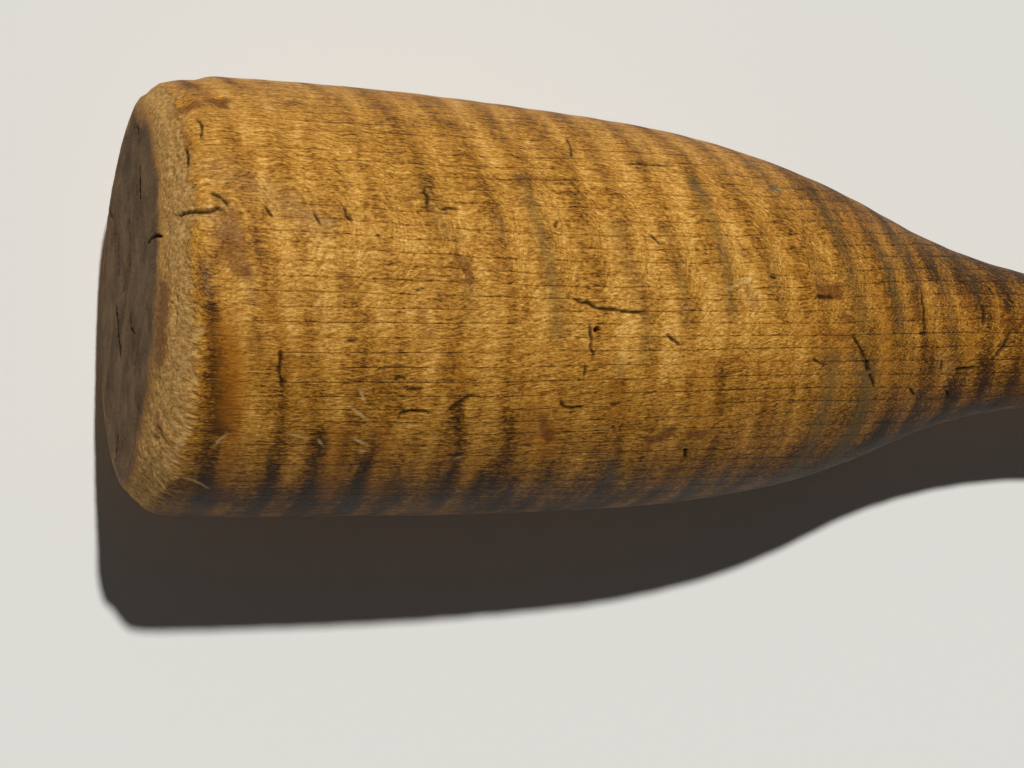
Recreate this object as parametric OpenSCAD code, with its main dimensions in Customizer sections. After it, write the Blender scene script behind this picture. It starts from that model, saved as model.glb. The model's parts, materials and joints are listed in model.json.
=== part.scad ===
// An old wooden masher, turned in one piece from curly maple, lying on its side.
// +X runs from the striking face towards the handle, +Z is up, and the floor is z = 0.
// The head's belly and the knob touch the floor, so the handle end lies a little lower.

/* [Head] */
// Widest diameter of the head
head_d = 66.6; // [50:0.2:90]
// Distance from the striking face to the head's widest point
widest_at = 25; // [14:1:40]
// Radius of the long shallow arc along the side of the head
belly_arc = 630; // [400:10:1200]
// Distance from the striking face to where the shoulder begins to turn in
shoulder_at = 77; // [60:1:100]
// Radius of the arc that turns the shoulder in
shoulder_arc = 148; // [100:1:200]
// How far the worn rim is rounded back along the side
rim_length = 7; // [2:0.5:12]
// How far the worn rim is rounded in across the striking face
rim_width = 7; // [2:0.5:12]

/* [Neck] */
// Diameter of the neck at its thinnest
neck_d = 20.4; // [16:0.2:28]
// Radius of the cove that runs from the shoulder into the neck
cove_arc = 117; // [80:1:160]

/* [Handle] */
// Distance from the neck to the fullest part of the grip
grip_rise = 52; // [30:1:80]
// Diameter of the grip at its fullest
grip_d = 29; // [22:0.5:36]
// Distance from the fullest part of the grip to the collar before the knob
grip_fall = 49; // [30:1:80]
// Diameter of the collar, the thin place before the knob
collar_d = 22.5; // [18:0.5:30]
// Distance from the collar to the knob's widest point
knob_rise = 15; // [8:0.5:24]
// Diameter of the knob that ends the handle
knob_d = 40; // [32:0.5:48]
// Distance from the knob's widest point to the end of the handle
knob_nose = 14; // [8:0.5:22]

/* [Age] */
// Longest drying crack in the striking face
crack_length = 8; // [3:0.5:12]
// Widest opening of a drying crack
crack_width = 0.6; // [0.3:0.1:1.5]
// Depth of a drying crack
crack_depth = 4; // [1:0.5:10]
// Diameter of the worm hole on the top of the head
worm_d = 0.9; // [0.6:0.1:2]
// Depth of the worm hole
worm_depth = 4; // [2:0.5:10]
// Distance from the striking face to the worm hole
worm_at = 63; // [30:1:76]
// Turn of the worm hole around the axis, from straight up
worm_turn = 7; // [-60:1:60]

/* [Quality] */
// Steps along each arc of the outline
arc_steps = 10; // [6:1:24]
// Sides of the turned round
$fn = 96; // [48:12:180]

/* [Hidden] */

head_r = head_d / 2;
neck_r = neck_d / 2;
grip_r = grip_d / 2;
collar_r = collar_d / 2;
knob_r = knob_d / 2;

// Radius of the head at a distance along its belly
function belly_radius_at(along) = head_r - belly_arc + sqrt(belly_arc ^ 2 - (along - widest_at) ^ 2);

rim_r = belly_radius_at(rim_length);
face_r = rim_r - rim_width;
shoulder_r = belly_radius_at(shoulder_at);

// Slope of the side where the belly passes into the shoulder, and where the shoulder
// passes into the cove: the two arcs between them drop from the shoulder to the neck
shoulder_slope = asin((shoulder_at - widest_at) / belly_arc);
cove_slope = acos((neck_r - shoulder_r + shoulder_arc * cos(shoulder_slope) + cove_arc)
    / (shoulder_arc + cove_arc));

// Places along the axis, from the striking face
cove_at = shoulder_at + shoulder_arc * (sin(cove_slope) - sin(shoulder_slope));
neck_at = cove_at + cove_arc * sin(cove_slope);
grip_at = neck_at + grip_rise;
collar_at = grip_at + grip_fall;
knob_at = collar_at + knob_rise;

// Each stretch of the outline is a list of points [distance along the axis, radius]
function steps(from, to) = [for (i = [1:arc_steps]) from + (to - from) * i / arc_steps];

// An arc about a centre, given by the slopes that it begins and ends with
function arc_between(centre, radius, from, to) =
    [for (slope = steps(from, to)) centre + radius * [sin(slope), cos(slope)]];

// A swell or a waist that leaves one radius and reaches the next along the axis
function swell(from, to) =
    [for (t = steps(0, 1))
        [from[0] + (to[0] - from[0]) * t, from[1] + (to[1] - from[1]) * (1 - cos(180 * t)) / 2]];

rim = concat([[0, face_r]],
    [for (turn = steps(0, 90)) [rim_length * (1 - cos(turn)), face_r + rim_width * sin(turn)]]);
belly = arc_between([widest_at, head_r - belly_arc], belly_arc,
    asin((rim_length - widest_at) / belly_arc), shoulder_slope);
shoulder = arc_between([shoulder_at, shoulder_r] - shoulder_arc * [sin(shoulder_slope), cos(shoulder_slope)],
    shoulder_arc, shoulder_slope, cove_slope);
cove = arc_between([neck_at, neck_r + cove_arc], -cove_arc, cove_slope, 0);
grip = concat(swell([neck_at, neck_r], [grip_at, grip_r]), swell([grip_at, grip_r], [collar_at, collar_r]));
knob = concat(swell([collar_at, collar_r], [knob_at, knob_r]),
    [for (turn = steps(0, 90)) [knob_at + knob_nose * sin(turn), knob_r * cos(turn)]]);

head_outline = concat(rim, belly, shoulder, cove);
outline = concat(head_outline, grip, knob);

// How far a point of the lower side hangs below the striking face's centre, at a tilt of the axis
function hang(point, tilt) = point[1] * cos(tilt) + point[0] * sin(tilt);
function lowest(points, tilt) =
    let (depths = [for (point = points) hang(point, tilt)])
    points[search(max(depths), depths)[0]];

// The tilt at which the head and the knob both touch the floor
function settled(tilt, tries) =
    tries == 0 ? tilt :
    let (front = lowest(head_outline, tilt), back = lowest(knob, tilt))
    settled(atan((front[1] - back[1]) / (back[0] - front[0])), tries - 1);

tilt = settled(0, 8);
face_height = max([for (point = outline) hang(point, tilt)]);
front_end = min([for (point = outline) point[0] * cos(tilt) - point[1] * sin(tilt)]);
back_end = max([for (point = outline) point[0] * cos(tilt) + point[1] * sin(tilt)]);
mid_length = (front_end + back_end) / 2;

// Drying cracks in the striking face. Each is placed across and up from its centre, as
// shares of its radius, then turned from level, then given a share of the longest one's length
cracks = [[-0.18, -0.3, -35, 1], [0.58, 0.28, -18, 0.75], [-0.8, -0.22, -28, 0.6]];

// How far a cut is carried past the surface that it opens
cut_past = 1;

// Lays down what is drawn upright on its striking face, so that it rests as on the floor
module lying() {
    translate([-mid_length, 0, face_height])
        rotate([0, 90 + tilt, 0])
            children();
}

module turned_round() {
    rotate_extrude()
        polygon(concat([[0, 0]], [for (point = outline) [point[1], point[0]]]));
}

// One drying crack, open at the striking face and pointed at both ends
module crack(length) {
    translate([0, 0, -cut_past])
        linear_extrude(crack_depth + cut_past)
            polygon([[-length / 2, 0], [0, crack_width / 2], [length / 2, 0], [0, -crack_width / 2]]);
}

module drying_cracks() {
    for (place = cracks)
        translate([-place[1] * face_r, place[0] * face_r, 0])
            rotate(90 + place[2])
                crack(crack_length * place[3]);
}

module worm_hole() {
    rotate(180 + worm_turn)
        translate([belly_radius_at(worm_at) - worm_depth, 0, worm_at])
            rotate([0, 90, 0])
                cylinder(h = worm_depth + cut_past, d = worm_d, $fn = 24);
}

module turned_body() {
    color("peru")
        lying()
            difference() {
                turned_round();
                drying_cracks();
                worm_hole();
            }
}

turned_body();
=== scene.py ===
import json
import math

import bpy
import numpy as np
from mathutils import Euler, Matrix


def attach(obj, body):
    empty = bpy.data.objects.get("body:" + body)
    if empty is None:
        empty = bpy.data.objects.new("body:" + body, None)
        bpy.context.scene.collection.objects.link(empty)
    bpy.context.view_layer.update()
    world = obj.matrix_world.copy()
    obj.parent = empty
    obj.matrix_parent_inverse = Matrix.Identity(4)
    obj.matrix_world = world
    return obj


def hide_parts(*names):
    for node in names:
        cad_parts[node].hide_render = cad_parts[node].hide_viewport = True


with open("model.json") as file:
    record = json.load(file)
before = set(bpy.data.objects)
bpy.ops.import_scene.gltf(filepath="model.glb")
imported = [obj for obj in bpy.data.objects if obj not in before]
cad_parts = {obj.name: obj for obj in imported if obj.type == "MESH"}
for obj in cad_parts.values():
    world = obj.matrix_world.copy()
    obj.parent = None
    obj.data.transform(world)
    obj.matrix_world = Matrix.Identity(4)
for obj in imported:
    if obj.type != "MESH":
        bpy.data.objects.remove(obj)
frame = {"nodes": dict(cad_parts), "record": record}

# An old masher, turned in one piece from curly maple, lying on a pale floor.
# Places on the masher are given as (along, turn): millimetres along the turning axis from
# the striking face, and degrees round the axis from straight up, positive towards -Y.

MM = 0.001
SEED = 11

# The camera and the light
CAMERA_AT = (-0.185765, -0.022105, 0.383059)
CAMERA_TURN = (1.19207, -15.68862, 1.95866)
CAMERA_LENS = 81.087
SENSOR_WIDTH = 36.0
KEY_FROM = (-0.020, 0.432, 0.902)
KEY_STRENGTH = 2.95
KEY_ANGLE = 2.2
KEY_COLOUR = (1.0, 0.985, 0.955)
SKY_COLOUR = (0.95, 0.98, 1.0)
SKY_STRENGTH = 0.05
FLOOR_SIDE = 12.0
FLOOR_COLOUR = (0.80, 0.80, 0.775)

# The tree that the billet came from: the growth rings lie flat under this turn
RING_TURN = -17.0
RING_WIDTH = 1.12
RING_BEND = 200.0
RING_TILT = 0.07
CURL_SLANT = 0.2
FLAT_SPREAD = 16.0

# The growth lines: the turn that their planes stand over, the space between them, and how
# far they lean over towards +Y, in millimetres by place along the axis
LINES_TURN = 3.6
LINE_SPACING = 2.1
LINES_DRIFT = [(0, 0.0), (50, 1.6), (100, 4.6), (150, 7.2), (300, 9.0)]

# The mesh's steps, in millimetres
FACE_STEP = 0.35
RIM_STEP = 0.25
HEAD_STEP = 0.25
GRIP_STEP = 0.8
UPPER_STEP = 0.25
LOWER_STEP = 0.7
UPPER_FROM, UPPER_TO = -92.0, 84.0
HEAD_END, GRIP_START = 152.0, 172.0

# Middles of the curl bands, where the top of the masher carries them
CURL_AT = [-9, -2, 5, 13.5, 19.5, 25.5, 32.5, 40, 49, 56.5, 63, 70, 77, 84.8, 92.5, 100,
           109, 117, 123.5, 130, 137, 143, 151, 158, 167, 175, 182, 191, 199, 206, 215, 223,
           230, 239, 247, 254, 262, 270, 276, 283, 290, 297, 305, 313]

# Strokes of dark curl: half width, strength, and the places that it runs through
DARK_CURL = [
    (1.0, 0.55, [(4.6, -3), (5.6, 3), (6.3, 8)]),
    (1.2, 1.2, [(6.2, 6), (6.9, 10), (7.2, 15)]),
    (1.9, 1.1, [(7.4, 15), (8.0, 22), (9.0, 30), (9.2, 37)]),
    (1.9, 0.72, [(8.6, 36), (8.0, 42), (8.8, 50), (10.0, 62), (10.5, 80)]),
    (0.9, 0.35, [(12.0, -12), (13.6, 0), (15.0, 7), (16.0, 13)]),
    (0.9, 0.42, [(16.8, 14), (17.6, 28), (18.3, 44)]),
    (1.0, 0.62, [(18.1, 48), (18.4, 56), (18.6, 66), (19.0, 82)]),
    (1.4, 0.68, [(24.0, 37), (24.4, 46), (24.6, 55), (25.4, 66), (25.8, 84)]),
    (1.0, 0.28, [(27.4, 37), (27.8, 45), (28.0, 60)]),
    (1.6, 0.3, [(25.4, -2), (27.2, 7), (28.8, 14)]),
    (1.9, 0.45, [(29.0, 12), (30.2, 20), (30.8, 28), (31.6, 35)]),
    (1.4, 0.72, [(31.5, 36), (31.8, 42), (31.9, 48)]),
    (1.3, 1.0, [(31.7, 46), (31.8, 54), (32.0, 62), (32.6, 80)]),
    (1.1, 0.3, [(38.2, 37), (38.7, 50), (39.0, 66)]),
    (1.3, 0.3, [(34.6, -52), (36.0, -42), (37.2, -32), (37.8, -24)]),
    (1.2, 0.34, [(40.4, 10), (41.4, 20), (42.8, 28)]),
    (1.1, 0.66, [(43.0, 28), (44.4, 36), (45.3, 45), (45.6, 54), (45.9, 64), (46.5, 82)]),
    (1.1, 0.26, [(43.4, -52), (45.2, -40), (46.4, -28), (48.0, -18), (48.8, -8)]),
    (0.9, 0.25, [(49.6, -6), (49.9, 6), (50.1, 14), (50.0, 24)]),
    (1.1, 0.45, [(51.4, 30), (52.2, 38), (52.6, 45), (52.2, 56)]),
    (1.1, 0.55, [(50.3, 52), (50.6, 62), (51.0, 78)]),
    (1.1, 0.55, [(55.6, 54), (56.0, 62), (56.6, 80)]),
    (0.8, 0.36, [(60.4, 49), (60.8, 56)]),
    (1.0, 0.2, [(62.2, 14), (63.0, 28), (63.6, 38)]),
    (1.3, 0.55, [(68.0, 20), (69.0, 27), (69.3, 33)]),
    (1.0, 0.5, [(69.6, 36), (70.6, 44), (70.8, 50)]),
    (1.5, 0.82, [(70.8, 48), (70.9, 54), (71.0, 64), (71.4, 82)]),
    (0.9, 0.25, [(76.2, 20), (76.8, 30), (77.2, 44), (78.0, 62)]),
    (1.2, 0.62, [(84.0, 15), (84.6, 22), (85.4, 30)]),
    (1.3, 0.6, [(85.4, 28), (86.0, 38), (86.6, 50), (87.2, 64), (88.0, 82)]),
    (0.9, 0.25, [(90.4, 4), (90.8, 15), (92.6, 24), (93.2, 36)]),
    (1.0, 0.5, [(91.6, 48), (91.7, 56), (92.2, 66)]),
    (0.8, 0.25, [(97.5, 20), (98.5, 40), (99.0, 60)]),
    (1.3, 0.22, [(119.0, 40), (120.0, 60)]),
    (1.0, 0.4, [(125.0, 34), (125.3, 50), (125.8, 64)]),
    (0.9, 0.3, [(131.5, 30), (132.6, 46), (133.5, 62)]),
    (0.9, 0.3, [(138.6, 20), (139.4, 46), (140.5, 62)]),
]

# Strokes of grey-green curl, as above
GREEN_CURL = [
    (1.2, 0.35, [(36.8, -30), (38.6, -18), (41.5, -14)]),
    (1.1, 0.35, [(43.0, -2), (43.4, 5)]),
    (1.2, 0.62, [(52.2, -34), (53.4, -24), (54.6, -15), (55.6, -8), (56.6, 0), (57.0, 8)]),
    (1.2, 0.4, [(66.4, -22), (68.4, -10), (69.8, -2), (71.0, 4), (71.2, 13)]),
    (1.1, 0.42, [(74.6, -22), (75.8, -14), (77.0, -4), (77.6, 3)]),
    (0.7, 0.6, [(67.0, 14), (67.5, 17.5)]),
    (1.2, 0.68, [(81.0, -42), (82.4, -32), (83.6, -20), (84.5, -10), (85.2, 0)]),
    (1.5, 0.3, [(92.8, -18), (93.0, -10), (93.4, -4)]),
    (1.0, 0.3, [(94.8, -62), (95.4, -50)]),
    (1.3, 0.3, [(100.0, -22), (101.2, -14)]),
    (1.6, 0.5, [(105.4, -44), (106.6, -30), (108.2, -15), (109.6, -4), (110.8, 6)]),
    (1.6, 0.9, [(104.4, 14), (105.0, 26), (105.3, 40), (104.9, 54), (105.6, 70)]),
    (2.0, 1.0, [(112.2, 19), (112.6, 30), (113.0, 44), (112.0, 58), (113.5, 72)]),
    (1.3, 0.6, [(115.6, -30), (116.8, -16), (117.8, -4), (118.2, 2)]),
    (1.2, 0.5, [(119.4, -48), (120.4, -36), (121.4, -22)]),
    (1.0, 0.3, [(128.6, -30), (129.6, -12), (130.8, 6), (131.4, 14)]),
    (1.0, 0.35, [(134.6, -44), (136.0, -30), (136.8, -20)]),
]

# Strokes of orange beside the dark curl, as above
AMBER_CURL = [
    (2.2, 0.9, [(8.6, 11), (9.8, 18), (10.4, 26), (10.6, 34)]),
    (1.2, 0.6, [(11.4, 36), (11.6, 48), (11.8, 58)]),
    (1.4, 0.4, [(14.6, 4), (16.0, 12), (19.0, 20)]),
    (1.8, 0.5, [(26.4, 36), (27.4, 50), (28.0, 62)]),
    (1.4, 0.35, [(33.6, 34), (34.2, 48), (34.6, 60)]),
    (1.2, 0.3, [(41.8, 12), (43.2, 24)]),
    (2.4, 0.5, [(55.6, 28), (57.4, 34), (58.0, 42)]),
    (1.6, 0.5, [(67.6, 23), (68.6, 29)]),
    (1.8, 0.4, [(81.5, 16), (82.0, 26), (82.8, 34)]),
    (2.2, 0.3, [(98.0, 2), (102.0, 4), (106.0, 10)]),
    (1.6, 0.45, [(112.6, -16), (114.4, -4), (115.6, 8), (116.4, 22)]),
    (1.6, 0.35, [(133.4, -20), (134.2, -2), (134.4, 16)]),
    (1.6, 0.3, [(140.6, -20), (142.0, -8)]),
]

# Brown and red-brown stains, as above
STAINS = [
    (1.7, 0.75, [(7.6, -11), (9.6, -6), (10.2, -3)]),
    (1.3, 0.6, [(7.4, -20), (8.8, -15), (9.6, -12)]),
    (1.3, 0.8, [(2.2, -54.6), (5.2, -54.2)]),
    (1.1, 0.9, [(8.3, -56.0), (9.7, -55.6)]),
    (0.8, 0.9, [(9.4, -54.5), (9.7, -53.2)]),
    (2.4, 1.0, [(0.02, 2), (0.02, 12), (0.02, 23)]),
    (0.8, 0.7, [(0.6, 40), (0.9, 47)]),
    (0.6, 0.6, [(18.4, -53.5), (19.4, -55), (20.4, -58)]),
    (0.8, 0.5, [(31.2, -58), (33.0, -59.5), (34.0, -56)]),
    (0.8, 0.5, [(42.0, -53.5), (44.0, -52.5), (46.5, -51)]),
    (0.8, 0.85, [(41.2, -10), (42.6, -7.5), (43.4, -4)]),
    (0.7, 0.4, [(40.6, -8), (41.8, -3)]),
    (0.6, 0.45, [(24.6, -20), (25.4, -17.5), (26.0, -16.5)]),
    (0.9, 0.55, [(52.2, -33), (54.0, -34.5), (56.4, -33.5)]),
    (0.6, 0.55, [(65.2, -39), (66.2, -38)]),
    (0.6, 0.35, [(72.2, -42), (73.0, -39)]),
    (1.0, 0.8, [(56.8, 31.5), (57.4, 34.5), (58.4, 37)]),
    (1.3, 0.35, [(54.4, 30), (55.4, 37)]),
    (1.0, 0.85, [(75.4, 38.5), (76.8, 37), (78.0, 36)]),
    (0.75, 0.8, [(81.6, 37.2), (82.6, 36.8), (83.8, 37)]),
    (0.5, 0.8, [(70.4, 42), (71.0, 43)]),
    (0.7, 0.5, [(83.4, 17.5), (84.2, 19)]),
    (0.7, 0.5, [(87.0, -20), (88.0, -17)]),
    (0.9, 0.5, [(87.6, -9), (88.6, -5), (89.0, -3)]),
    (1.6, 0.85, [(101.8, -9.5), (104.4, -9.5)]),
    (0.8, 0.7, [(106.0, -1.5), (106.9, -0.5)]),
    (0.9, 0.6, [(103.4, 4.5), (105.0, 5.5), (107.4, 5.2)]),
    (1.6, 0.35, [(103.0, 10), (104.6, 13)]),
    (0.9, 0.6, [(121.4, -12), (122.0, -5)]),
    (0.45, 0.8, [(124.6, 28.5), (125.0, 29.5)]),
    (1.0, 0.65, [(143.2, -9.5), (144.6, -8.5)]),
    (1.4, 0.75, [(11.2, 63), (13.6, 66)]),
    (1.2, 0.55, [(6.0, 58), (9.6, 61.5)]),
    (0.8, 0.4, [(25.4, 61), (25.8, 64)]),
    (0.5, 0.5, [(79.0, 50), (83.0, 52)]),
    (0.9, 0.35, [(36.0, 3), (37.5, 10)]),
    (1.4, 0.25, [(20.5, 2), (22.0, 8)]),
    (1.2, 0.3, [(12.5, 12), (13.4, 18)]),
]

# Grey and violet grime, partly painted sheen where the varnish is glossy, as above
GRIME_AND_SHEEN = [
    (2.2, 0.5, [(6.6, -30), (11.0, -26), (16.0, -21), (20.5, -16)]),
    (1.3, 0.65, [(18.0, -19), (20.5, -16.5), (22.6, -15.5)]),
    (0.9, 0.55, [(10.0, -27.5), (10.8, -26.5)]),
    (1.3, 0.55, [(5.4, -17), (7.6, -14), (9.0, -12.5)]),
    (0.9, 0.4, [(4.6, -4), (6.0, 3)]),
    (0.8, 0.45, [(11.4, -3), (12.0, 4)]),
    (0.8, 0.5, [(47.8, -20), (48.4, -16)]),
    (1.0, 0.4, [(69.6, 46), (71.6, 55)]),
    (1.4, 0.4, [(108.2, 12), (110.4, 20)]),
    (1.4, 0.4, [(128.2, 17), (130.0, 21)]),
    (0.9, 0.4, [(81.0, -38), (83.0, -37)]),
]

# Cracks along and across the grain: half width, depth, and the places that each runs through
CRACKS = [
    (0.22, 0.60, [(0.8, -19.3), (1.6, -18.2), (3.0, -18.0), (4.4, -17.3), (6.0, -17.4), (6.9, -18.2),
                  (7.7, -17.8), (8.0, -16.6)]),
    (0.14, 0.35, [(5.8, -22.6), (7.0, -21.4), (8.0, -20.2), (8.4, -18.8)]),
    (0.14, 0.30, [(5.2, -47), (5.8, -44), (5.6, -41), (5.2, -39)]),
    (0.14, 0.30, [(3.0, -38), (3.3, -35), (3.1, -31)]),
    (0.17, 0.50, [(16.2, 15), (16.5, 18), (16.4, 20.5), (16.9, 23), (17.3, 26)]),
    (0.14, 0.35, [(37.2, -28.5), (37.0, -26.5), (37.4, -24.6), (37.1, -22.4)]),
    (0.13, 0.25, [(39.0, -21.8), (40.6, -22.5), (42.0, -22.4)]),
    (0.14, 0.35, [(34.6, 32.3), (34.9, 30.6), (36.6, 30.0), (38.4, 29.9), (39.6, 30.6)]),
    (0.13, 0.30, [(25.6, 12.5), (27.2, 12.1)]),
    (0.13, 0.30, [(33.0, 21.6), (34.0, 20.8), (34.9, 21.4)]),
    (0.13, 0.30, [(35.0, 24.2), (37.6, 23.8)]),
    (0.13, 0.30, [(35.2, -0.6), (36.6, -1.4)]),
    (0.13, 0.25, [(41.6, 30.4), (42.6, 28.0), (44.4, 25.6), (46.0, 24.8)]),
    (0.13, 0.25, [(24.9, -20.5), (25.1, -18.2), (25.9, -17.0)]),
    (0.13, 0.25, [(20.4, -18.6), (21.4, -15.4)]),
    (0.12, 0.20, [(13.4, -19.6), (14.6, -16.6)]),
    (0.15, 0.45, [(58.4, -1.4), (60.2, -0.4), (61.6, 0.0), (62.6, 0.9), (64.0, 1.3), (65.6, 1.2),
                  (67.2, 1.7), (69.4, 1.7), (71.2, 2.1)]),
    (0.15, 0.45, [(62.0, 4.6), (62.1, 7.6), (62.5, 9.6), (62.3, 11.4), (63.0, 12.8), (62.9, 14.8)]),
    (0.13, 0.35, [(61.9, 16.0), (62.0, 19.2)]),
    (0.11, 0.20, [(61.9, -53.0), (62.0, -48.5), (61.4, -43.0)]),
    (0.17, 0.45, [(70.4, -43.7), (72.4, -44.6), (74.6, -44.9), (76.4, -45.6), (78.4, -46.0)]),
    (0.13, 0.30, [(74.2, 6.8), (75.6, 8.6), (76.8, 9.8)]),
    (0.13, 0.30, [(58.7, 25.6), (59.4, 27.6), (61.0, 28.2), (63.0, 27.6)]),
    (0.12, 0.25, [(66.9, 26.9), (67.6, 27.0), (68.5, 26.4)]),
    (0.12, 0.25, [(56.6, -19.4), (57.2, -21.8)]),
    (0.12, 0.22, [(72.0, -20.0), (73.4, -17.4)]),
    (0.24, 0.50, [(81.6, 42.2), (82.0, 44.4), (82.4, 46.4)]),
    (0.16, 0.45, [(108.0, 5.0), (109.2, 8.0), (110.2, 11.0), (111.2, 14.0)]),
    (0.36, 1.10, [(111.4, 14.2), (111.7, 16.4), (112.1, 18.8)]),
    (0.15, 0.40, [(112.4, 19.4), (113.2, 21.6), (114.0, 25.0)]),
    (0.20, 0.30, [(123.2, -17.0), (123.4, -10.0), (123.5, -4.0), (123.6, 3.0)]),
    (0.22, 0.35, [(122.4, 3.0), (124.2, 2.6)]),
    (0.25, 0.40, [(136.8, -18.0), (137.2, -13.0), (136.9, -8.0), (136.8, -4.8)]),
    (0.30, 0.60, [(143.0, -3.0), (142.2, 2.5), (141.6, 8.0), (140.4, 13.5), (140.0, 16.5)]),
    (0.13, 0.25, [(128.3, 16.0), (128.5, 22.5)]),
    (0.18, 0.30, [(131.4, 22.2), (134.0, 22.3), (136.2, 21.6)]),
    (0.22, 0.35, [(131.0, 35.0), (131.8, 39.5)]),
    (0.20, 0.35, [(143.0, -27.5), (144.2, -24.0)]),
    (0.20, 0.35, [(139.4, -34.0), (139.8, -29.0)]),
    (0.12, 0.25, [(100.4, 12.9), (102.0, 14.6), (103.4, 15.0)]),
    (0.12, 0.25, [(92.2, -11.3), (93.2, -11.4)]),
    (0.12, 0.22, [(122.0, 28.4), (124.0, 33.8)]),
    (0.20, 0.25, [(100.4, -7.0), (102.0, -7.2), (104.2, -7.4)]),
]

# Pale scratches, as the cracks
SCRATCHES = [
    (0.13, 0.08, [(9.0, 43.0), (9.6, 40.6), (10.6, 38.6)]),
    (0.13, 0.08, [(28.6, 38.2), (30.0, 39.6), (31.4, 40.6)]),
    (0.13, 0.08, [(29.8, 42.4), (31.6, 42.8)]),
    (0.12, 0.08, [(23.6, 39.2), (24.6, 41.2)]),
    (0.14, 0.08, [(44.6, 44.8), (46.2, 43.6)]),
    (0.13, 0.08, [(5.8, 55.0), (7.4, 56.0), (9.0, 58.0), (10.4, 60.2)]),
    (0.12, 0.06, [(28.2, 24.0), (29.4, 27.6)]),
    (0.12, 0.06, [(27.2, 29.0), (30.4, 33.0)]),
    (0.12, 0.06, [(19.0, 37.8), (22.4, 39.2)]),
    (0.12, 0.05, [(84.0, -6.0), (90.0, -11.5)]),
]

# Small dents where the varnish is left glossy: place, radius and depth
GLOSSY_DENTS = [
    ((7.1, 5.0), 0.5, 0.14), ((7.3, 7.4), 0.45, 0.12), ((11.2, 5.4), 0.5, 0.14), ((11.5, 8.0), 0.4, 0.10),
    ((26.5, 6.0), 0.5, 0.12), ((7.2, -17.6), 0.5, 0.12), ((8.2, -15.0), 0.6, 0.12), ((7.4, -13.0), 0.45, 0.1),
    ((9.4, -12.0), 0.5, 0.10), ((5.0, -9.4), 0.4, 0.10), ((11.9, -1.2), 0.5, 0.10), ((22.4, -13.0), 0.5, 0.10),
    ((76.5, -1.7), 0.8, 0.20), ((77.5, -1.2), 0.5, 0.14), ((67.4, 20.2), 0.6, 0.12), ((71.3, 12.8), 0.6, 0.12),
    ((69.4, 35.0), 0.5, 0.10), ((70.6, 47.6), 0.5, 0.12), ((71.8, 54.0), 0.5, 0.10), ((69.4, -5.6), 0.7, 0.12),
    ((68.8, -7.0), 0.5, 0.10), ((71.0, 0.4), 0.4, 0.08), ((75.9, 9.8), 0.4, 0.08), ((110.2, 4.2), 0.9, 0.16),
    ((104.2, -11.4), 0.8, 0.15), ((49.8, -5.2), 0.4, 0.08), ((45.6, 2.4), 0.4, 0.08), ((67.2, 27.0), 0.4, 0.12),
]

# Where the wood has shrunk or stands proud of true round: place, reach along and round it, rise
SETTLED = [
    ((6.4, -78.0), (3.2, 28.0), -0.75), ((0.3, -76.0), (0.9, 26.0), 0.8), ((0.3, 82.0), (0.9, 22.0), 0.6),
    ((56.0, 80.0), (38.0, 26.0), -0.85), ((116.0, 78.0), (14.0, 26.0), 0.4),
]

# Chips knocked from the edge of the head: place, reach along and round it, depth
CHIPS = [
    ((3.4, -54.0), 2.6, 1.0, 0.55), ((9.2, -55.5), 1.2, 1.4, 0.40), ((1.0, 8.0), 0.9, 3.4, 0.35),
    ((0.8, -34.0), 0.8, 2.0, 0.30), ((1.2, 47.0), 1.0, 2.2, 0.35), ((2.2, 96.0), 2.0, 2.6, 0.60),
    ((1.0, 131.0), 1.2, 4.0, 0.50), ((2.8, 163.0), 2.4, 1.6, 0.45), ((1.0, -148.0), 1.0, 3.0, 0.40),
    ((1.6, -108.0), 1.6, 2.2, 0.55), ((4.6, -122.0), 1.4, 1.0, 0.35), ((12.0, 172.0), 1.4, 0.9, 0.30),
]

# Drying cracks in the striking face: half width, depth, and places as (across, up) in
# millimetres from its centre, across being towards +Y
FACE_CRACKS = [
    (0.32, 2.2, [(18.3, 6.7), (16.4, 7.2), (14.6, 8.2), (12.8, 8.5)]),
    (0.36, 2.6, [(-1.4, -10.6), (-3.6, -8.4), (-5.4, -7.4), (-7.8, -5.3)]),
    (0.30, 1.8, [(-25.2, -6.2), (-23.4, -5.4), (-21.4, -4.0)]),
    (0.14, 0.7, [(0.2, -3.6), (1.4, -2.9), (3.2, -2.7)]),
    (0.12, 0.6, [(8.0, -10.3), (5.2, -9.3), (2.4, -8.9)]),
    (0.12, 0.6, [(10.6, -0.5), (7.0, 0.6), (3.2, 1.3)]),
    (0.16, 0.8, [(24.6, 3.1), (23.4, 4.0)]),
    (0.12, 0.6, [(-12.0, 9.0), (-8.6, 11.6), (-6.0, 12.4)]),
    (0.13, 0.7, [(6.2, 16.4), (7.0, 20.8), (6.6, 23.8)]),
    (0.12, 0.5, [(-14.0, -14.2), (-11.0, -16.8)]),
    (0.12, 0.5, [(12.4, -16.2), (14.0, -20.6)]),
    (0.11, 0.5, [(-3.0, 3.4), (-5.6, 5.0), (-6.4, 8.0)]),
]

# Dents in the striking face: place as above, radius and depth
FACE_DENTS = [
    ((-8.6, -4.6), 1.1, 0.7), ((4.0, -15.0), 2.2, 0.25), ((-16.0, 3.0), 2.6, 0.22), ((12.0, 13.0), 2.0, 0.2),
    ((-4.0, 18.0), 1.8, 0.25), ((17.0, -8.0), 2.4, 0.2), ((-19.0, -13.0), 1.8, 0.25), ((1.0, 6.0), 3.0, 0.12),
]

# Specks of old teal paint: half width, strength, and the places that each runs through
TEAL = [
    (0.7, 0.9, [(96.2, -46.4), (97.0, -45.4)]),
    (0.4, 0.4, [(88.4, -39.4), (91.4, -40.4)]),
    (0.5, 0.35, [(81.6, -38.6), (82.4, -37.6)]),
]

# The worm hole: place, radius and depth
WORM = ((63.25, 6.9), 0.46, 2.4)

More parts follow.
